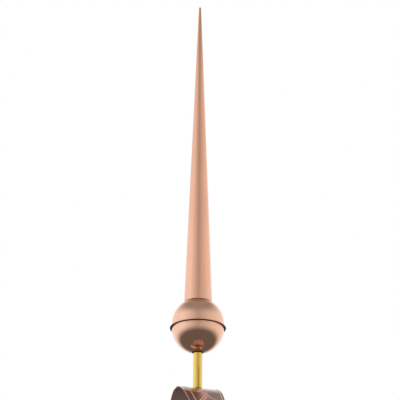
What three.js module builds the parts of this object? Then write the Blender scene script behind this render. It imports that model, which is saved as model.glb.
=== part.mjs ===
// Ball-and-spire roof finial on a ridge saddle.
// Millimetres, +Z up, +X along the ridge, the leaf that is seen in front falls towards -Y.
// Origin: on the underside of the saddle's crown, straight under the stem.
import * as THREE from "three";

// ---- driving dimensions ----
const SEGMENTS = 56; // facets round every turned piece
const GAP = 0.3; // clearance left at each soldered seat

// ridge saddle: one bent sheet
const SHEET = 1.2; // thickness
const CROWN_HALF_FLAT = 10; // flat strip on the ridge line, each side of the stem's axis
const CROWN_R = 20; // tight bend beside the flat strip, outer face
const CROWN_BEND_DEG = 19.5;
const SHOULDER_R = 110; // slow bend down to the slope of the leaves, outer face
const LEAF_SLOPE_DEG = 43;
const LEAF_STRAIGHT = 55; // flat part of each leaf, down the slope
const SHEET_LEFT = -44.5; // ends of the sheet on the ridge line
const SHEET_RIGHT = 37.5;
const END_TAPER = 0.0668; // each end is cut in by this much per mm away from the ridge line
const SHOULDER_STEPS = 9;
const CROWN_STEPS = 4;

// stem: tube between the saddle and the ball
const TUBE_R = 9;
const TUBE_WALL = 1.6;
const TUBE_IN_BALL = 14.5; // length hidden in the ball's socket

// ball: two spun half shells with a lipped seam
const BALL_R = 50.8;
const SEAM_ABOVE_CROWN = 126.2; // middle of the lip above the saddle's crown
const LIP_R = 54.5;
const LIP_T = 1;
const UPPER_SKIRT = 9; // straight part of the upper shell above the seam's middle
const BALL_STEPS = 13;

// spire: tall cone with a small rounded tip
const SPIRE_BASE_R = 27.5;
const SPIRE_TIP_R = 2.3;
const SPIRE_TIP_ABOVE_SEAM = 687;
const TIP_STEPS = 4;
const SEAT_STEPS = 6;

// ---- heights that follow from them ----
const CROWN_TOP = SHEET;
const SEAM_Z = CROWN_TOP + SEAM_ABOVE_CROWN;
const LIP_LOW = SEAM_Z - LIP_T / 2;
const LIP_HIGH = SEAM_Z + LIP_T / 2;
const LOWER_CENTRE = SEAM_Z;
const UPPER_CENTRE = SEAM_Z + UPPER_SKIRT;
const TIP_Z = SEAM_Z + SPIRE_TIP_ABOVE_SEAM;
const SOCKET_R = TUBE_R + GAP;
const SOCKET_MOUTH = LOWER_CENTRE - Math.sqrt(BALL_R ** 2 - SOCKET_R ** 2);
const TUBE_TOP = SOCKET_MOUTH + TUBE_IN_BALL;

const rad = (deg) => (deg * Math.PI) / 180;

// circle points in a profile plane, from angle a0 to a1 measured up from the horizontal
function arc(centre, radius, a0, a1, steps) {
  const points = [];
  for (let i = 0; i <= steps; i++) {
    const a = a0 + ((a1 - a0) * i) / steps;
    points.push([radius * Math.cos(a), centre + radius * Math.sin(a)]);
  }
  return points;
}

// solid of revolution round Z from a profile of [radius, height], listed with the metal on its left
function turned(name, profile, material) {
  const points = profile.map(([r, z]) => new THREE.Vector2(Math.max(r, 0), z));
  const geometry = new THREE.LatheGeometry(points, SEGMENTS);
  geometry.rotateX(Math.PI / 2);
  const mesh = new THREE.Mesh(geometry, material);
  mesh.name = name;
  return mesh;
}

const copper = () => new THREE.MeshStandardMaterial({ color: 0xd08a62, roughness: 0.22, metalness: 1 });
const saddleCopper = () => new THREE.MeshStandardMaterial({ color: 0x9a5e50, roughness: 0.32, metalness: 1 });
const brass = () => new THREE.MeshStandardMaterial({ color: 0xd9a94e, roughness: 0.25, metalness: 1 });

// ---- spire: seat that follows the ball, straight flank, rounded tip ----
function spire() {
  const seatR = BALL_R + GAP;
  const rim = Math.acos(SPIRE_BASE_R / seatR);
  const seat = arc(UPPER_CENTRE, seatR, Math.PI / 2, rim, SEAT_STEPS);
  seat[0][0] = 0;
  const baseZ = seat[seat.length - 1][1];
  const lean = Math.atan2(SPIRE_BASE_R - SPIRE_TIP_R, TIP_Z - baseZ);
  const tip = arc(TIP_Z - SPIRE_TIP_R, SPIRE_TIP_R, lean, Math.PI / 2, TIP_STEPS);
  tip[tip.length - 1][0] = 0;
  return turned("spire", [...seat, ...tip], copper());
}

// ---- upper half of the ball: dome on a short straight skirt ----
function ballUpperHalf() {
  const foot = LIP_HIGH + GAP;
  const dome = arc(UPPER_CENTRE, BALL_R, 0, Math.PI / 2, BALL_STEPS);
  dome[dome.length - 1][0] = 0;
  return turned("ball_upper_half", [[0, foot], [BALL_R, foot], ...dome], copper());
}

// ---- lower half of the ball: bowl with the seam's lip round its rim and the stem's socket below ----
function ballLowerHalf() {
  const socketTop = TUBE_TOP + GAP;
  const from = -Math.acos(SOCKET_R / BALL_R);
  const to = Math.asin((LIP_LOW - LOWER_CENTRE) / BALL_R);
  const bowl = arc(LOWER_CENTRE, BALL_R, from, to, BALL_STEPS);
  return turned(
    "ball_lower_half",
    [[0, socketTop], [SOCKET_R, socketTop], ...bowl, [LIP_R, LIP_LOW], [LIP_R, LIP_HIGH], [0, LIP_HIGH]],
    copper(),
  );
}

// ---- stem: open-ended tube standing on the crown, its top end in the ball ----
function stemTube() {
  const low = CROWN_TOP + GAP;
  const inner = TUBE_R - TUBE_WALL;
  return turned(
    "stem_tube",
    [[TUBE_R, low], [TUBE_R, TUBE_TOP], [inner, TUBE_TOP], [inner, low], [TUBE_R, low]],
    brass(),
  );
}

// ---- saddle: half section as [distance from the ridge line, drop, slope], outer face ----
function halfSection() {
  const points = [[0, 0, 0], [CROWN_HALF_FLAT, 0, 0]];
  const bend = (radius, a0, a1, steps) => {
    const [y0, z0] = points[points.length - 1];
    for (let i = 1; i <= steps; i++) {
      const a = a0 + ((a1 - a0) * i) / steps;
      points.push([
        y0 + radius * (Math.sin(a) - Math.sin(a0)),
        z0 - radius * (Math.cos(a0) - Math.cos(a)),
        a,
      ]);
    }
  };
  bend(CROWN_R, 0, rad(CROWN_BEND_DEG), CROWN_STEPS);
  bend(SHOULDER_R, rad(CROWN_BEND_DEG), rad(LEAF_SLOPE_DEG), SHOULDER_STEPS);
  const [y, z] = points[points.length - 1];
  const slope = rad(LEAF_SLOPE_DEG);
  points.push([y + LEAF_STRAIGHT * Math.cos(slope), z - LEAF_STRAIGHT * Math.sin(slope), slope]);
  return points;
}

// bent sheet: the section swept along the ridge, with both ends cut slightly in down each leaf
function ridgeSaddle() {
  const half = halfSection();
  const section = [];
  for (let i = half.length - 1; i > 0; i--) section.push([-half[i][0], half[i][1], -half[i][2]]);
  for (let i = 0; i < half.length; i++) section.push(half[i]);
  const vertices = [];
  for (const [y, drop, a] of section) {
    const cut = END_TAPER * Math.max(0, Math.abs(y) - CROWN_HALF_FLAT);
    const outer = [y, CROWN_TOP + drop];
    const inner = [y - SHEET * Math.sin(a), CROWN_TOP + drop - SHEET * Math.cos(a)];
    for (const x of [SHEET_LEFT + cut, SHEET_RIGHT - cut])
      for (const [py, pz] of [outer, inner]) vertices.push(x, py, pz);
  }
  // four corners a station: 0 left outer, 1 left inner, 2 right outer, 3 right inner
  const triangles = [];
  const quad = (a, b, c, d) => triangles.push(a, b, c, a, c, d);
  for (let i = 0; i + 1 < section.length; i++) {
    const p = 4 * i, q = 4 * (i + 1);
    quad(p, p + 2, q + 2, q); // outer face
    quad(p + 1, q + 1, q + 3, p + 3); // inner face
    quad(p, q, q + 1, p + 1); // left end
    quad(p + 2, p + 3, q + 3, q + 2); // right end
  }
  const e = 4 * (section.length - 1);
  quad(0, 1, 3, 2); // foot of the leaf towards -Y
  quad(e, e + 2, e + 3, e + 1); // foot of the leaf towards +Y
  const geometry = new THREE.BufferGeometry();
  geometry.setAttribute("position", new THREE.Float32BufferAttribute(vertices, 3));
  geometry.setIndex(triangles);
  geometry.computeVertexNormals();
  const mesh = new THREE.Mesh(geometry, saddleCopper());
  mesh.name = "ridge_saddle";
  return mesh;
}

const finial = new THREE.Group();
finial.add(ridgeSaddle(), stemTube(), ballLowerHalf(), ballUpperHalf(), spire());

export default finial;
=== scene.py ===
"""Looks of the roof finial: polished copper spire and ball, brass stem, bent copper ridge saddle.
Metres, +Z up, +X along the ridge; the front leaf of the saddle falls towards -Y."""

import math

import bpy
import numpy as np
from mathutils import Matrix, Vector


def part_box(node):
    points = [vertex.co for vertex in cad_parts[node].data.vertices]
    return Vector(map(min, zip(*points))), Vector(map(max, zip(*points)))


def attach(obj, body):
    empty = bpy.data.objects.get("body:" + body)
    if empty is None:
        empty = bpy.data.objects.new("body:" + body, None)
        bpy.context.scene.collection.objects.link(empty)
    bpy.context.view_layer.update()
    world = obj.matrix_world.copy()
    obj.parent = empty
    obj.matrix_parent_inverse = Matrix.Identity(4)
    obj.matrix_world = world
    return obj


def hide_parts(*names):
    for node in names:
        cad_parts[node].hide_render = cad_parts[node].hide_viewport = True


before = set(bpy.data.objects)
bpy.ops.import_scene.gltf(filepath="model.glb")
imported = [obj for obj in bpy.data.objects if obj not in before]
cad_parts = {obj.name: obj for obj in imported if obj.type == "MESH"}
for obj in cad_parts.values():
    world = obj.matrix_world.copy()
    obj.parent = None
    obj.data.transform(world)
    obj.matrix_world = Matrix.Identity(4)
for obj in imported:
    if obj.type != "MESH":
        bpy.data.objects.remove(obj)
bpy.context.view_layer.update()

MM = 0.001

# ------------------------------------------------------------------ sizes, taken from the frame
spire_low, spire_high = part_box("spire")
upper_low, upper_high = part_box("ball_upper_half")
lower_low, lower_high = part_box("ball_lower_half")
stem_low, stem_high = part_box("stem_tube")
sheet_low, sheet_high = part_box("ridge_saddle")

BALL_R = 50.8 * MM
LIP_R = lower_high.x
UPPER_CENTRE = upper_high.z - BALL_R
LIP_HIGH = lower_high.z
LIP_T = 1.0 * MM
LIP_LOW = LIP_HIGH - LIP_T - 0.35 * MM
SEAM_Z = LIP_HIGH - LIP_T / 2
SPIRE_R = 27.5 * MM
SPIRE_TIP_R = 2.3 * MM
TIP_Z = spire_high.z
TUBE_R = 9 * MM
SHEET = 1.2 * MM

# saddle section: flat crown, tight bend, slow bend, straight leaf (the same path as the solid's outer face)
CROWN_HALF_FLAT = 10 * MM
CROWN_R, CROWN_BEND = 20 * MM, math.radians(19.5)
SHOULDER_R, LEAF_SLOPE = 110 * MM, math.radians(43)
LEAF = 55 * MM
SHEET_LEFT, SHEET_RIGHT, END_TAPER = -44.5 * MM, 37.5 * MM, 0.0668


# ------------------------------------------------------------------ mesh helpers
def new_object(name, vertices, faces, materials, face_material=None, sharp_deg=38):
    mesh = bpy.data.meshes.new(name)
    mesh.from_pydata([tuple(v) for v in vertices], [], [tuple(f) for f in faces])
    for m in materials:
        mesh.materials.append(m)
    if face_material is not None:
        mesh.polygons.foreach_set("material_index", np.asarray(face_material, np.int32))
    mesh.polygons.foreach_set("use_smooth", np.ones(len(mesh.polygons), bool))
    mesh.update()
    mesh.set_sharp_from_angle(angle=math.radians(sharp_deg))
    mesh.validate()
    obj = bpy.data.objects.new(name, mesh)
    bpy.context.scene.collection.objects.link(obj)
    return obj


def turned(name, profile, segments, materials, bands=None, centre=(0, 0), wobble=None):
    """Solid of revolution from (radius, height) points, listed upwards on the outside and closed on the axis or on itself.
    bands: material index for each profile edge. wobble(r, z, angle) returns a change of radius."""
    closed = abs(profile[0][0] - profile[-1][0]) < 1e-9 and abs(profile[0][1] - profile[-1][1]) < 1e-9 and profile[0][0] > 1e-9
    points = profile[:-1] if closed else profile
    vertices, rings = [], []
    for r, z in points:
        if r < 1e-9:
            rings.append([len(vertices)])
            vertices.append((centre[0], centre[1], z))
            continue
        ring = []
        for k in range(segments):
            a = 2 * math.pi * k / segments
            rr = r + (wobble(r, z, a) if wobble else 0)
            ring.append(len(vertices))
            vertices.append((centre[0] + rr * math.cos(a), centre[1] + rr * math.sin(a), z))
        rings.append(ring)
    faces, index = [], []
    pairs = list(zip(range(len(points)), range(1, len(points))))
    if closed:
        pairs.append((len(points) - 1, 0))
    for n, (i, j) in enumerate(pairs):
        a, b = rings[i], rings[j]
        band = bands[n] if bands else 0
        for k in range(segments):
            k2 = (k + 1) % segments
            if len(a) == 1 and len(b) == 1:
                continue
            if len(a) == 1:
                faces.append((a[0], b[k2], b[k]))
            elif len(b) == 1:
                faces.append((a[k], a[k2], b[0]))
            else:
                faces.append((a[k], a[k2], b[k2], b[k]))
            index.append(band)
    return new_object(name, vertices, faces, materials, index)


def arc(cx, cz, radius, a0, a1, steps):
    """Points of a circle in the profile plane; angles from the +radius axis, anticlockwise."""
    return [
        (cx + radius * math.cos(a0 + (a1 - a0) * i / steps), cz + radius * math.sin(a0 + (a1 - a0) * i / steps))
        for i in range(steps + 1)
    ]


# ------------------------------------------------------------------ material helpers
class Nodes:
    def __init__(self, name):
        self.material = bpy.data.materials.new(name)
        self.material.use_nodes = True
        self.tree = self.material.node_tree
        self.tree.nodes.clear()
        self.out = self.add("ShaderNodeOutputMaterial")
        self.bsdf = self.add("ShaderNodeBsdfPrincipled")
        self.link(self.bsdf.outputs[0], self.out.inputs["Surface"])

    def add(self, kind, **settings):
        node = self.tree.nodes.new(kind)
        for k, v in settings.items():
            setattr(node, k, v)
        return node

    def link(self, a, b):
        self.tree.links.new(a, b)

    def coords(self, scale=(1, 1, 1)):
        tex = self.add("ShaderNodeTexCoord")
        mapping = self.add("ShaderNodeMapping")
        mapping.inputs["Scale"].default_value = scale
        self.link(tex.outputs["Object"], mapping.inputs["Vector"])
        return mapping.outputs["Vector"]

    def noise(self, scale, detail=4.0, rough=0.55, stretch=(1, 1, 1), distortion=0.0):
        n = self.add("ShaderNodeTexNoise")
        n.inputs["Scale"].default_value = scale
        n.inputs["Detail"].default_value = detail
        n.inputs["Roughness"].default_value = rough
        n.inputs["Distortion"].default_value = distortion
        self.link(self.coords(stretch), n.inputs["Vector"])
        return n.outputs["Fac"]

    def ramp(self, value, stops, interpolation="LINEAR"):
        r = self.add("ShaderNodeValToRGB")
        r.color_ramp.interpolation = interpolation
        while len(r.color_ramp.elements) < len(stops):
            r.color_ramp.elements.new(0.5)
        for e, (p, c) in zip(r.color_ramp.elements, stops):
            e.position = p
            e.color = (*c, 1) if len(c) == 3 else (c[0], c[0], c[0], 1)
        self.link(value, r.inputs["Fac"])
        return r.outputs["Color"]

    def math(self, op, a, b=None, clamp=False):
        m = self.add("ShaderNodeMath", operation=op, use_clamp=clamp)
        for socket, v in zip(m.inputs, (a, b)):
            if v is None:
                continue
            if isinstance(v, (int, float)):
                socket.default_value = v
            else:
                self.link(v, socket)
        return m.outputs[0]

    def remap(self, value, a, b, c, d, smooth=False):
        m = self.add("ShaderNodeMapRange")
        m.interpolation_type = "SMOOTHSTEP" if smooth else "LINEAR"
        for k, v in zip(("From Min", "From Max", "To Min", "To Max"), (a, b, c, d)):
            m.inputs[k].default_value = v
        self.link(value, m.inputs["Value"])
        return m.outputs["Result"]

    def mix(self, factor, a, b):
        m = self.add("ShaderNodeMix", data_type="RGBA")
        for socket, v in ((m.inputs[0], factor), (m.inputs[6], a), (m.inputs[7], b)):
            if isinstance(v, (int, float)):
                socket.default_value = v
            elif isinstance(v, tuple):
                socket.default_value = (*v, 1)
            else:
                self.link(v, socket)
        return m.outputs[2]

    def height(self):
        sep = self.add("ShaderNodeSeparateXYZ")
        tex = self.add("ShaderNodeTexCoord")
        self.link(tex.outputs["Object"], sep.inputs[0])
        return sep.outputs

    def bump(self, height, strength, distance, after=None):
        b = self.add("ShaderNodeBump")
        b.inputs["Strength"].default_value = strength
        b.inputs["Distance"].default_value = distance
        self.link(height, b.inputs["Height"])
        if after is not None:
            self.link(after, b.inputs["Normal"])
        return b.outputs["Normal"]


def polished_metal(name, base, stain, rough=(0.06, 0.16), brush=(1, 1, 1), brush_scale=400.0, brush_bump=0.03, cloud=22.0, stain_amount=0.35):
    """Polished sheet metal: slight colour drift, faint polishing marks along one direction, small dull specks."""
    m = Nodes(name)
    m.bsdf.inputs["Metallic"].default_value = 1.0
    clouds = m.noise(cloud, 5.0, 0.6)
    fine = m.noise(160.0, 3.0, 0.6)
    marks = m.noise(brush_scale, 3.0, 0.65, stretch=brush)
    drift = m.remap(clouds, 0.42, 0.72, 0.0, stain_amount, smooth=True)
    m.link(m.mix(drift, base, stain), m.bsdf.inputs["Base Color"])
    r1 = m.remap(clouds, 0.35, 0.75, rough[0], rough[1])
    r2 = m.math("MULTIPLY", m.remap(fine, 0.5, 0.8, 0.0, 0.05), 1.0)
    m.link(m.math("ADD", r1, r2, clamp=True), m.bsdf.inputs["Roughness"])
    n = m.bump(marks, brush_bump, 0.0002)
    n = m.bump(m.noise(cloud * 1.7, 2.0, 0.5), 0.05, 0.0012, after=n)
    m.link(n, m.bsdf.inputs["Normal"])
    return m


# ------------------------------------------------------------------ materials
COPPER = (0.93, 0.58, 0.43)
COPPER_BROWN = (0.74, 0.38, 0.24)
BRASS = (0.92, 0.665, 0.17)
SPIRE_COPPER = (0.93, 0.545, 0.395)

spire_nodes = polished_metal("spire_copper", SPIRE_COPPER, (0.89, 0.50, 0.355), rough=(0.07, 0.13), brush=(6, 6, 0.05), brush_scale=260, brush_bump=0.025)
ball_nodes = polished_metal("ball_copper", COPPER, (0.88, 0.50, 0.35), rough=(0.03, 0.07), brush=(0.4, 0.4, 7), brush_scale=240, brush_bump=0.02)
stem_nodes = polished_metal("stem_brass", BRASS, (0.86, 0.58, 0.145), rough=(0.22, 0.30), brush=(6, 6, 0.1), brush_scale=300, brush_bump=0.04)
saddle_nodes = polished_metal("saddle_copper", (0.60, 0.41, 0.37), (0.46, 0.29, 0.265), rough=(0.14, 0.25), brush=(0.2, 4, 4), brush_scale=260, brush_bump=0.05, cloud=30.0, stain_amount=0.7)


def over_base(nodes, mask, colour):
    """Mixes colour over what already feeds the base colour."""
    base = nodes.bsdf.inputs["Base Color"]
    before = base.links[0].from_socket
    nodes.link(nodes.mix(mask, before, colour), base)


# spire: fine streaks along its length, browner in steps towards the point
streak = spire_nodes.noise(70.0, 3.0, 0.6, stretch=(3.0, 3.0, 0.06))
over_base(spire_nodes, spire_nodes.remap(streak, 0.35, 0.7, 0.0, 0.16), (0.66, 0.33, 0.21))
spire_up = spire_nodes.height()["Z"]
over_base(spire_nodes, spire_nodes.remap(spire_nodes.math("ADD", spire_up, spire_nodes.remap(spire_nodes.noise(9.0), 0.3, 0.7, -0.04, 0.04)), 0.26, 0.40, 0.0, 0.30, smooth=True), (0.74, 0.40, 0.27))
over_base(spire_nodes, spire_nodes.remap(spire_up, 0.42, 0.50, 0.0, 0.16, smooth=True), (0.66, 0.35, 0.21))
over_base(spire_nodes, spire_nodes.remap(spire_up, 0.60, 0.80, 0.0, 0.60, smooth=True), (0.52, 0.29, 0.19))

# ball: faint spinning rings
rings = ball_nodes.noise(60.0, 4.0, 0.7, stretch=(0.3, 0.3, 14.0))
over_base(ball_nodes, ball_nodes.remap(rings, 0.45, 0.75, 0.0, 0.14), (0.70, 0.36, 0.24))
ball_up = ball_nodes.height()["Z"]
# darker brown within a few millimetres of the seam: tarnish, and partly a painted reflection
near_seam = ball_nodes.remap(ball_nodes.math("ABSOLUTE", ball_nodes.math("SUBTRACT", ball_up, SEAM_Z)), 0.0008, 0.0060, 0.55, 0.0, smooth=True)
over_base(ball_nodes, ball_nodes.math("MULTIPLY", near_seam, ball_nodes.remap(ball_nodes.noise(120.0), 0.35, 0.65, 0.2, 1.0)), (0.55, 0.24, 0.14))

# stem: the tube's drawn seam, a thin darker line up its front
axes = stem_nodes.height()
seam_angle = stem_nodes.math("ARCTAN2", axes["X"], stem_nodes.math("MULTIPLY", axes["Y"], -1.0))
off_line = stem_nodes.math("ABSOLUTE", stem_nodes.math("SUBTRACT", seam_angle, math.radians(-16.6 + 14)))
line = stem_nodes.math("MULTIPLY", stem_nodes.remap(off_line, 0.060, 0.150, 0.90, 0.0, smooth=True), stem_nodes.remap(axes["Z"], 0.040, 0.052, 1.0, 0.15, smooth=True))
over_base(stem_nodes, line, (0.44, 0.23, 0.035))
over_base(stem_nodes, stem_nodes.remap(axes["Z"], 0.002, 0.010, 0.40, 0.0, smooth=True), (0.70, 0.45, 0.24))

# saddle: rubbed bright on its raised lines and folds, and a painted highlight along them: a paler, less metallic colour
# there
wear_and_painted_highlight = saddle_nodes.add("ShaderNodeAttribute", attribute_name="wear_and_painted_highlight")
rub_and_painted_highlight = saddle_nodes.math("MULTIPLY", wear_and_painted_highlight.outputs["Fac"], saddle_nodes.remap(saddle_nodes.noise(180.0), 0.3, 0.6, 0.7, 1.0))
over_base(saddle_nodes, rub_and_painted_highlight, (0.95, 0.74, 0.68))
saddle_nodes.link(saddle_nodes.remap(rub_and_painted_highlight, 0.0, 0.9, 0.94, 0.40), saddle_nodes.bsdf.inputs["Metallic"])

# brown heat tint on the crown, round the foot of the stem
flat = saddle_nodes.height()
from_stem = saddle_nodes.math("SQRT", saddle_nodes.math("ADD", saddle_nodes.math("POWER", flat["X"], 2.0), saddle_nodes.math("POWER", flat["Y"], 2.0)))
tint = saddle_nodes.remap(saddle_nodes.math("ADD", from_stem, saddle_nodes.remap(saddle_nodes.noise(70.0), 0.3, 0.7, -0.004, 0.004)), 0.012, 0.026, 0.80, 0.0, smooth=True)
over_base(saddle_nodes, tint, (0.46, 0.175, 0.105))

# near-black matt brown: tarnish, and painted shade for the shaded underside of the seam's lip; also used on the solder
# collar at the ball's mouth
seam = Nodes("seam_tarnish_and_painted_shade")
seam.bsdf.inputs["Metallic"].default_value = 0.0
seam.bsdf.inputs["Specular IOR Level"].default_value = 0.15
seam.link(seam.mix(seam.remap(seam.noise(90.0), 0.35, 0.7, 0.0, 1.0), (0.045, 0.0085, 0.003), (0.078, 0.016, 0.005)), seam.bsdf.inputs["Base Color"])
seam.link(seam.remap(seam.noise(220.0), 0.3, 0.7, 0.45, 0.65), seam.bsdf.inputs["Roughness"])
seam.link(seam.bump(seam.noise(900.0, 3.0), 0.25, 0.0002), seam.bsdf.inputs["Normal"])

# dark brown metal at the spire's foot: solder, and painted shade for the contact shadow in the joint
joint = Nodes("joint_brown")
joint.bsdf.inputs["Metallic"].default_value = 1.0
joint.link(joint.mix(joint.remap(joint.noise(150.0), 0.35, 0.7, 0.0, 1.0), (0.44, 0.21, 0.12), (0.24, 0.10, 0.055)), joint.bsdf.inputs["Base Color"])
joint.link(joint.remap(joint.noise(300.0), 0.3, 0.7, 0.26, 0.42), joint.bsdf.inputs["Roughness"])
joint.link(joint.bump(joint.noise(600.0, 3.0), 0.2, 0.0002), joint.bsdf.inputs["Normal"])

# dark ring at the foot of the stem: solder, and painted shade for the shadow at the tube's foot
solder = Nodes("foot_solder_and_painted_shade")
solder.bsdf.inputs["Metallic"].default_value = 0.9
solder.link(solder.mix(solder.remap(solder.noise(260.0), 0.4, 0.65, 0.0, 1.0), (0.10, 0.050, 0.030), (0.24, 0.15, 0.10)), solder.bsdf.inputs["Base Color"])
solder.link(solder.remap(solder.noise(300.0), 0.3, 0.7, 0.3, 0.55), solder.bsdf.inputs["Roughness"])
solder.link(solder.bump(solder.noise(700.0, 3.0), 0.35, 0.0003), solder.bsdf.inputs["Normal"])


# ------------------------------------------------------------------ spire
def make_spire():
    seat_r = BALL_R + 0.3 * MM
    roll = 0.45 * MM
    rim_z = UPPER_CENTRE + math.sqrt(seat_r**2 - SPIRE_R**2)
    rim_a = math.acos((SPIRE_R - roll) / seat_r)
    lean = math.atan2(SPIRE_R - SPIRE_TIP_R, TIP_Z - rim_z)
    profile = [(0.0, UPPER_CENTRE + seat_r)] + arc(0, UPPER_CENTRE, seat_r, math.pi / 2, rim_a, 20)[1:]
    profile += arc(SPIRE_R - roll, rim_z + roll * 0.7, roll, -math.pi / 2 + 0.35, lean, 6)
    foot = profile[-1]
    tip = arc(0, TIP_Z - SPIRE_TIP_R, SPIRE_TIP_R, lean, math.pi / 2, 12)
    steps = 90
    for i in range(1, steps):
        t = i / steps
        profile.append((foot[0] + (tip[0][0] - foot[0]) * t, foot[1] + (tip[0][1] - foot[1]) * t))
    profile += tip[:-1] + [(0.0, TIP_Z)]
    # a thin run of dark solder closes the joint, its dark brown also a painted shade for the contact shadow under the
    # cone's rim: it starts on the cone and feathers out on the ball
    bead_r = SPIRE_R + 1.5 * MM
    bead_z = UPPER_CENTRE + math.sqrt((BALL_R + 0.05 * MM) ** 2 - bead_r**2)
    bead = [(SPIRE_R - 1.0 * MM, UPPER_CENTRE + math.sqrt((BALL_R + 0.05 * MM) ** 2 - (SPIRE_R - 1.0 * MM) ** 2)), (bead_r, bead_z)]
    bead += [(SPIRE_R + 1.0 * MM, bead_z + 0.75 * MM), (SPIRE_R + 0.45 * MM, bead_z + 1.45 * MM), (SPIRE_R + 0.12 * MM, bead_z + 2.0 * MM), (SPIRE_R - 0.6 * MM, bead_z + 2.1 * MM), (SPIRE_R - 1.0 * MM, bead[0][1])]
    run = turned("spire_solder_and_shade", bead, 192, [joint.material])
    shell = turned("spire_cone", profile, 192, [spire_nodes.material])
    return shell, run


# ------------------------------------------------------------------ ball
def make_upper():
    foot = upper_low.z
    profile = [(0.0, foot), (BALL_R - 0.5 * MM, foot)] + arc(BALL_R - 0.35 * MM, foot + 0.35 * MM, 0.35 * MM, -math.pi / 2, 0, 4)
    steps = 10
    for i in range(1, steps + 1):
        profile.append((BALL_R, foot + 0.35 * MM + (UPPER_CENTRE - foot - 0.35 * MM) * i / steps))
    profile += arc(0, UPPER_CENTRE, BALL_R, 0, math.pi / 2, 96)[1:-1] + [(0.0, UPPER_CENTRE + BALL_R)]
    return turned("ball_upper_shell", profile, 256, [ball_nodes.material])


def make_lower():
    socket_r, socket_top = TUBE_R + 0.3 * MM, lower_low.z + 14.8 * MM
    # a dark collar of solder round the tube fills the mouth
    collar_r, mouth = TUBE_R + 2.3 * MM, lower_low.z
    profile = [(0.0, socket_top), (socket_r, socket_top), (TUBE_R + 0.06 * MM, mouth), (TUBE_R + 0.10 * MM, mouth - 1.9 * MM), (TUBE_R + 0.55 * MM, mouth - 1.75 * MM), (TUBE_R + 1.15 * MM, mouth - 0.95 * MM)]
    bands = [0, 0, 1, 1, 1, 1]
    a0 = -math.acos(collar_r / BALL_R)
    fillet = 0.5 * MM
    a1 = math.asin((LIP_LOW - SEAM_Z - fillet) / BALL_R)
    bowl = arc(0, SEAM_Z, BALL_R, a0, a1, 110)
    profile += bowl
    bands += [0] * len(bowl)
    edge = (LIP_HIGH - LIP_LOW) / 2
    # the lip takes the near-black seam colour: tarnish and painted shade
    lip = [(BALL_R + 0.15 * MM, LIP_LOW - 0.15 * MM), (BALL_R + fillet, LIP_LOW)]
    lip += arc(LIP_R - edge, (LIP_LOW + LIP_HIGH) / 2, edge, -math.pi / 2, math.pi / 2, 10)
    lip += [(BALL_R - 0.2 * MM, LIP_HIGH)]
    profile += lip
    bands += [1] * len(lip)
    profile.append((0.0, LIP_HIGH))
    bands.append(1)
    return turned("ball_lower_shell", profile, 256, [ball_nodes.material, seam.material], bands[: len(profile) - 1])


# ------------------------------------------------------------------ stem
def make_stem():
    low, high, inner = stem_low.z, stem_high.z, TUBE_R - 1.6 * MM
    c = 0.3 * MM
    # the foot ring is raised so its dark solder colour shows as painted shade along the tube's foot
    foot = 2.7 * MM
    profile = [(TUBE_R + 1.3 * MM, low - 0.25 * MM), (TUBE_R + 1.1 * MM, low + 0.4 * MM), (TUBE_R + 0.5 * MM, low + 1.3 * MM), (TUBE_R + 0.06 * MM, low + foot), (TUBE_R, low + foot + 0.2 * MM)]
    bands = [1] * (len(profile) - 1)
    steps = 40
    for i in range(1, steps + 1):
        profile.append((TUBE_R, low + foot + 0.2 * MM + (high - c - low - foot - 0.2 * MM) * i / steps))
        bands.append(0)
    profile += [(TUBE_R - c, high), (inner + c, high), (inner, high - c), (inner, low + c), (inner + c, low - 0.1 * MM), (TUBE_R + 1.3 * MM, low - 0.25 * MM)]
    bands += [0, 0, 0, 0, 0, 1]
    return turned("stem_sleeve", profile, 96, [stem_nodes.material, solder.material], bands)


# ------------------------------------------------------------------ saddle
def half_path(step):
    """Outer face of one leaf from the ridge line down: (distance from the ridge line, height, slope, length along the sheet)."""
    crown = sheet_high.z
    out = []
    l_flat, l_crown, l_shoulder = CROWN_HALF_FLAT, CROWN_R * CROWN_BEND, SHOULDER_R * (LEAF_SLOPE - CROWN_BEND)
    y1 = CROWN_HALF_FLAT + CROWN_R * math.sin(CROWN_BEND)
    z1 = crown - CROWN_R * (1 - math.cos(CROWN_BEND))
    y2 = y1 + SHOULDER_R * (math.sin(LEAF_SLOPE) - math.sin(CROWN_BEND))
    z2 = z1 - SHOULDER_R * (math.cos(CROWN_BEND) - math.cos(LEAF_SLOPE))
    total = l_flat + l_crown + l_shoulder + LEAF
    n = max(2, round(total / step))
    for i in range(n + 1):
        s = total * i / n
        if s <= l_flat:
            out.append((s, crown, 0.0, s))
        elif s <= l_flat + l_crown:
            a = (s - l_flat) / CROWN_R
            out.append((CROWN_HALF_FLAT + CROWN_R * math.sin(a), crown - CROWN_R * (1 - math.cos(a)), a, s))
        elif s <= l_flat + l_crown + l_shoulder:
            a = CROWN_BEND + (s - l_flat - l_crown) / SHOULDER_R
            out.append((y1 + SHOULDER_R * (math.sin(a) - math.sin(CROWN_BEND)), z1 - SHOULDER_R * (math.cos(CROWN_BEND) - math.cos(a)), a, s))
        else:
            k = s - l_flat - l_crown - l_shoulder
            out.append((y2 + k * math.cos(LEAF_SLOPE), z2 - k * math.sin(LEAF_SLOPE), LEAF_SLOPE, s))
    return out


HEM_LEFT, HEM_RIGHT, HEM_RISE = 13.5 * MM, 6.2 * MM, 0.55 * MM
BEAD_WIDTH, BEAD_RISE = 2.3 * MM, 0.75 * MM
CHEVRON_TOP, CHEVRON_SPREAD, CHEVRON_WIDTH = 63.5 * MM, 0.60, 4.8 * MM


def smooth(t):
    t = min(1.0, max(0.0, t))
    return t * t * (3 - 2 * t)


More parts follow.
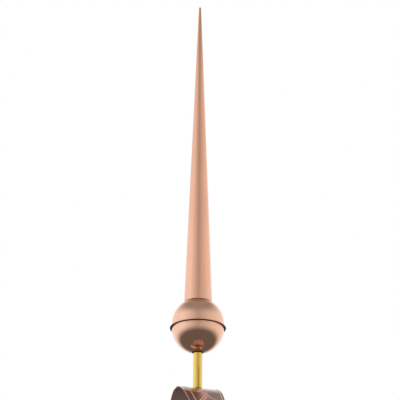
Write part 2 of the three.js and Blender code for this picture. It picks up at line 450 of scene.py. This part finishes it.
def waviness(x, s):
    """Hand-bent sheet: long shallow waves, a few tenths of a millimetre."""
    return MM * (
        0.16 * math.sin(0.061 * s / MM + 0.9) * math.cos(0.052 * x / MM - 0.6)
        + 0.09 * math.sin(0.143 * s / MM - 0.08 * x / MM + 2.1)
        + 0.05 * math.sin(0.21 * x / MM + 0.11 * s / MM)
    )


def ridge(d):
    """Height of a half-round raised line at a distance d from its middle."""
    t = min(1.0, abs(d) * 2 / BEAD_WIDTH)
    return math.cos(t * math.pi / 2) ** 1.5 if t < 1 else 0.0


def chevron(x, s):
    """Two nested raised lines on the front leaf: upside-down Vs with their points towards the ridge."""
    if s < CHEVRON_TOP - 2 * CHEVRON_WIDTH:
        return 0.0
    d = (s - CHEVRON_TOP - abs(x - 0.5 * MM) / CHEVRON_SPREAD) * CHEVRON_SPREAD / math.hypot(1, CHEVRON_SPREAD)
    fade = smooth((113 * MM - s) / (6 * MM))
    return max(ridge(d), ridge(d - CHEVRON_WIDTH)) * fade


def make_saddle():
    front = half_path(0.7 * MM)
    back = half_path(2.2 * MM)
    path = [(-y, z, -a, s, 1) for y, z, a, s in reversed(front)] + [(y, z, a, s, -1) for y, z, a, s in back[1:]]
    # loop round the sheet: (kind, value, height above or below the outer face as a share)
    fold = 5
    top = []  # from the left end to the right end, distances from the ends or shares between the hems
    hem_r = (SHEET + HEM_RISE) / 2
    for i in range(fold + 1):  # rounded fold on the left end, from below to above
        a = math.pi / 2 + math.pi / 2 * (1 - i / fold)
        top.append(("L", hem_r * 0.6 * (1 - math.sin(math.pi / 2 * i / fold)), HEM_RISE - hem_r + hem_r * math.sin(math.pi / 2 * i / fold)))
    for d in (*np.linspace(1.6, HEM_LEFT / MM - 2.3, 5), *np.linspace(HEM_LEFT / MM - 2.1, HEM_LEFT / MM - 0.15, 9)):
        top.append(("L", d * MM, HEM_RISE))
    top += [("L", HEM_LEFT, HEM_RISE - 0.12 * MM), ("L", HEM_LEFT + 0.06 * MM, 0.0)]
    columns = 124
    for i in range(1, columns):
        top.append(("M", i / columns, 0.0))
    top += [("R", HEM_RIGHT + 0.06 * MM, 0.0), ("R", HEM_RIGHT, HEM_RISE - 0.12 * MM)]
    for d in (*np.linspace(HEM_RIGHT / MM - 0.15, HEM_RIGHT / MM - 2.1, 9), *np.linspace(HEM_RIGHT / MM - 2.3, 1.6, 3)):
        top.append(("R", d * MM, HEM_RISE))
    for i in range(fold, -1, -1):
        top.append(("R", hem_r * 0.6 * (1 - math.sin(math.pi / 2 * i / fold)), HEM_RISE - hem_r + hem_r * math.sin(math.pi / 2 * i / fold)))
    bottom = []
    for i in range(1, fold + 1):
        bottom.append(("R", hem_r * 0.6 * (1 - math.cos(math.pi / 2 * i / fold)), HEM_RISE - hem_r - (hem_r - 0.0) * math.sin(math.pi / 2 * i / fold)))
    for i in range(1, 40):
        bottom.append(("M", 1 - i / 40, -SHEET))
    for i in range(fold, 0, -1):
        bottom.append(("L", hem_r * 0.6 * (1 - math.cos(math.pi / 2 * i / fold)), HEM_RISE - hem_r - (hem_r - 0.0) * math.sin(math.pi / 2 * i / fold)))
    loop = top + bottom
    vertices, wear_and_painted_highlight = [], []
    for y, z, a, s, side in path:
        cut = END_TAPER * max(0.0, abs(y) - CROWN_HALF_FLAT)
        left, right = SHEET_LEFT + cut, SHEET_RIGHT - cut
        ny, nz = math.sin(a), math.cos(a)
        for kind, value, h in loop:
            if kind == "L":
                x = left + value
            elif kind == "R":
                x = right - value
            else:
                x = left + HEM_LEFT + (right - HEM_RIGHT - left - HEM_LEFT) * value
            near_ridge = smooth((s - 16 * MM) / (25 * MM))
            w = waviness(x, s * side) * near_ridge
            raised = 0.0
            if h > -0.3 * MM:
                fade = smooth((s - 14 * MM) / (8 * MM))
                raised = max(ridge(x - left - HEM_LEFT + 0.9 * MM), ridge(right - HEM_RIGHT - x + 0.9 * MM)) * fade
                if side > 0:
                    raised = max(raised, chevron(x, s))
            rim = max(0.0, 1 - min(x - left, right - x) / (1.1 * MM))
            hh = h + w + raised * BEAD_RISE
            vertices.append((x, y + ny * hh, z + nz * hh))
            # share of rubbed wear and painted highlight: the raised lines and the sheet's end edges
            wear_and_painted_highlight.append(min(1.0, max(raised, 0.8 * rim)) if h > -0.6 * MM else 0.0)
    n = len(loop)
    faces = []
    for i in range(len(path) - 1):
        for j in range(n):
            j2 = (j + 1) % n
            faces.append((i * n + j, i * n + j2, (i + 1) * n + j2, (i + 1) * n + j))
    faces.append(tuple(range(n - 1, -1, -1)))
    last = (len(path) - 1) * n
    faces.append(tuple(last + j for j in range(n)))
    sheet = new_object("saddle_sheet", vertices, faces, [saddle_nodes.material], sharp_deg=50)
    sheet.data.attributes.new("wear_and_painted_highlight", "FLOAT", "POINT").data.foreach_set("value", wear_and_painted_highlight)
    return sheet


spire_cone, spire_solder_and_shade = make_spire()
for piece, node, slot in (
    (spire_cone, "spire", "spire_copper"),
    (spire_solder_and_shade, None, "spire_copper"),
    (make_upper(), "ball_upper_half", "ball_copper"),
    (make_lower(), "ball_lower_half", "ball_copper"),
    (make_stem(), "stem_tube", "stem_brass"),
    (make_saddle(), "ridge_saddle", "saddle_copper"),
):
    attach(piece, "root")
    if node:
        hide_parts(node)


# ------------------------------------------------------------------ surroundings
CAMERA_AZ = -16.62397


def direction(azimuth):
    """Level unit vector from the finial; azimuth in degrees, counted as the camera's."""
    a = math.radians(azimuth)
    return math.sin(a), -math.cos(a)


def bearing(azimuth, elevation):
    """Unit vector for an azimuth counted from the camera's, growing to the right, and an elevation, in degrees."""
    x, y = direction(CAMERA_AZ + azimuth)
    e = math.radians(elevation)
    return Vector((x * math.cos(e), y * math.cos(e), math.sin(e)))


class Studio(Nodes):
    """Soft light from all round the finial, in wide even gradients."""

    def __init__(self, world):
        self.tree = world.node_tree
        self.tree.nodes.clear()
        self.out = self.add("ShaderNodeOutputWorld")
        tex = self.add("ShaderNodeTexCoord")
        unit = self.add("ShaderNodeVectorMath", operation="NORMALIZE")
        self.link(tex.outputs["Generated"], unit.inputs[0])
        self.dir = unit.outputs["Vector"]
        front, side = bearing(0, 0), bearing(90, 0)
        self.az = self.math("MULTIPLY", self.math("ARCTAN2", self.dot(side), self.dot(front)), 180 / math.pi)
        self.el = self.math("MULTIPLY", self.math("ARCSINE", self.dot(Vector((0, 0, 1)))), 180 / math.pi)
        self.colour = None

    def dot(self, vector):
        d = self.add("ShaderNodeVectorMath", operation="DOT_PRODUCT")
        self.link(self.dir, d.inputs[0])
        d.inputs[1].default_value = vector
        return d.outputs["Value"]

    def angle(self, azimuth, elevation):
        """Degrees between the direction and a bearing."""
        return self.math("MULTIPLY", self.math("ARCCOSINE", self.math("MULTIPLY", self.dot(bearing(azimuth, elevation)), 0.99999)), 180 / math.pi)

    def curve(self, value, low, high, points, a, b):
        """Piecewise straight function of value (low..high) through points, with results in a..b."""
        stops = [((v - low) / (high - low), ((w - a) / (b - a),)) for v, w in points]
        grey = self.ramp(self.remap(value, low, high, 0, 1), stops)
        return self.remap(grey, 0, 1, a, b)

    def below(self, value, limit, soft):
        """1 where value < limit, 0 above, with a soft step as wide as soft."""
        return self.remap(self.math("SUBTRACT", value, limit), -soft / 2, soft / 2, 1, 0, smooth=True)

    def above(self, value, limit, soft):
        return self.remap(self.math("SUBTRACT", value, limit), -soft / 2, soft / 2, 0, 1, smooth=True)

    def both(self, *masks):
        m = masks[0]
        for other in masks[1:]:
            m = self.math("MULTIPLY", m, other)
        return m

    def paint(self, mask, colour):
        self.colour = colour if self.colour is None else self.mix(mask, self.colour, colour)

    def grain(self, scale, low, high, detail=3.0):
        n = self.add("ShaderNodeTexNoise")
        n.inputs["Scale"].default_value = scale
        n.inputs["Detail"].default_value = detail
        self.link(self.dir, n.inputs["Vector"])
        return self.remap(n.outputs["Fac"], 0.35, 0.65, low, high)


world = bpy.data.worlds.new("studio")
bpy.context.scene.world = world
world.use_nodes = True
room = Studio(world)
az, el = room.az, room.el

# plain soft light: bright all round, dimmer in front, overhead and below
room.paint(
    None,
    room.ramp(
        room.remap(az, -180, 180, 0, 1),
        [(0.0, (1.0, 1.0, 1.0)), (0.3, (1.0, 1.0, 1.0)), (0.5, (0.5, 0.47, 0.45)), (0.7, (0.85, 0.8, 0.75)), (0.9, (1.0, 1.0, 1.0)), (1.0, (1.0, 1.0, 1.0))],
    ),
)
room.paint(room.above(el, 46.0, 36.0), (0.35, 0.33, 0.32))
room.paint(room.below(el, -15.0, 30.0), (0.15, 0.14, 0.13))

# the camera and matt surfaces see a plain white room
path = room.add("ShaderNodeLightPath")
plain = room.math("MAXIMUM", path.outputs["Is Camera Ray"], path.outputs["Is Diffuse Ray"])
background = room.add("ShaderNodeBackground")
room.link(room.mix(plain, room.colour, (1.0, 1.0, 1.0)), background.inputs["Color"])
room.link(background.outputs[0], room.out.inputs["Surface"])

floor_mesh = bpy.data.meshes.new("floor")
R = 60
floor_mesh.from_pydata([(-R, -R, -2.7), (R, -R, -2.7), (R, R, -2.7), (-R, R, -2.7)], [], [(0, 1, 2, 3)])
floor_nodes = Nodes("floor_paint")
floor_nodes.link(floor_nodes.mix(floor_nodes.noise(0.6), (0.88, 0.88, 0.87), (0.93, 0.93, 0.92)), floor_nodes.bsdf.inputs["Base Color"])
floor_nodes.bsdf.inputs["Roughness"].default_value = 0.9
floor_mesh.materials.append(floor_nodes.material)
floor = bpy.data.objects.new("floor", floor_mesh)
bpy.context.scene.collection.objects.link(floor)
floor.visible_glossy = False

# ------------------------------------------------------------------ camera: long lens, from below
CAMERA_EL, CAMERA_ROLL = -21.87445, math.radians(0.37)
CAMERA_PLACE = Vector((-1.615810, -5.420128, -1.875441))
FOCAL_PX = 3094.379  # for a frame 400 px wide
a, e = math.radians(CAMERA_AZ), math.radians(CAMERA_EL)
back = Vector((math.sin(a) * math.cos(e), -math.cos(a) * math.cos(e), math.sin(e)))
right = Vector((math.cos(a), math.sin(a), 0.0))
up = back.cross(right)
right, up = (
    right * math.cos(CAMERA_ROLL) + up * math.sin(CAMERA_ROLL),
    up * math.cos(CAMERA_ROLL) - right * math.sin(CAMERA_ROLL),
)
camera_data = bpy.data.cameras.new("camera")
camera_data.sensor_fit = "HORIZONTAL"
camera_data.sensor_width = 36
camera_data.lens = FOCAL_PX / 400 * 36
camera_data.clip_start, camera_data.clip_end = 0.1, 200
camera = bpy.data.objects.new("camera", camera_data)
bpy.context.scene.collection.objects.link(camera)
camera.rotation_mode = "QUATERNION"
camera.location = CAMERA_PLACE
camera.rotation_quaternion = Matrix((right, up, back)).transposed().to_quaternion()
bpy.context.scene.camera = camera

bpy.context.scene.view_settings.view_transform = "Standard"
bpy.context.scene.view_settings.look = "None"
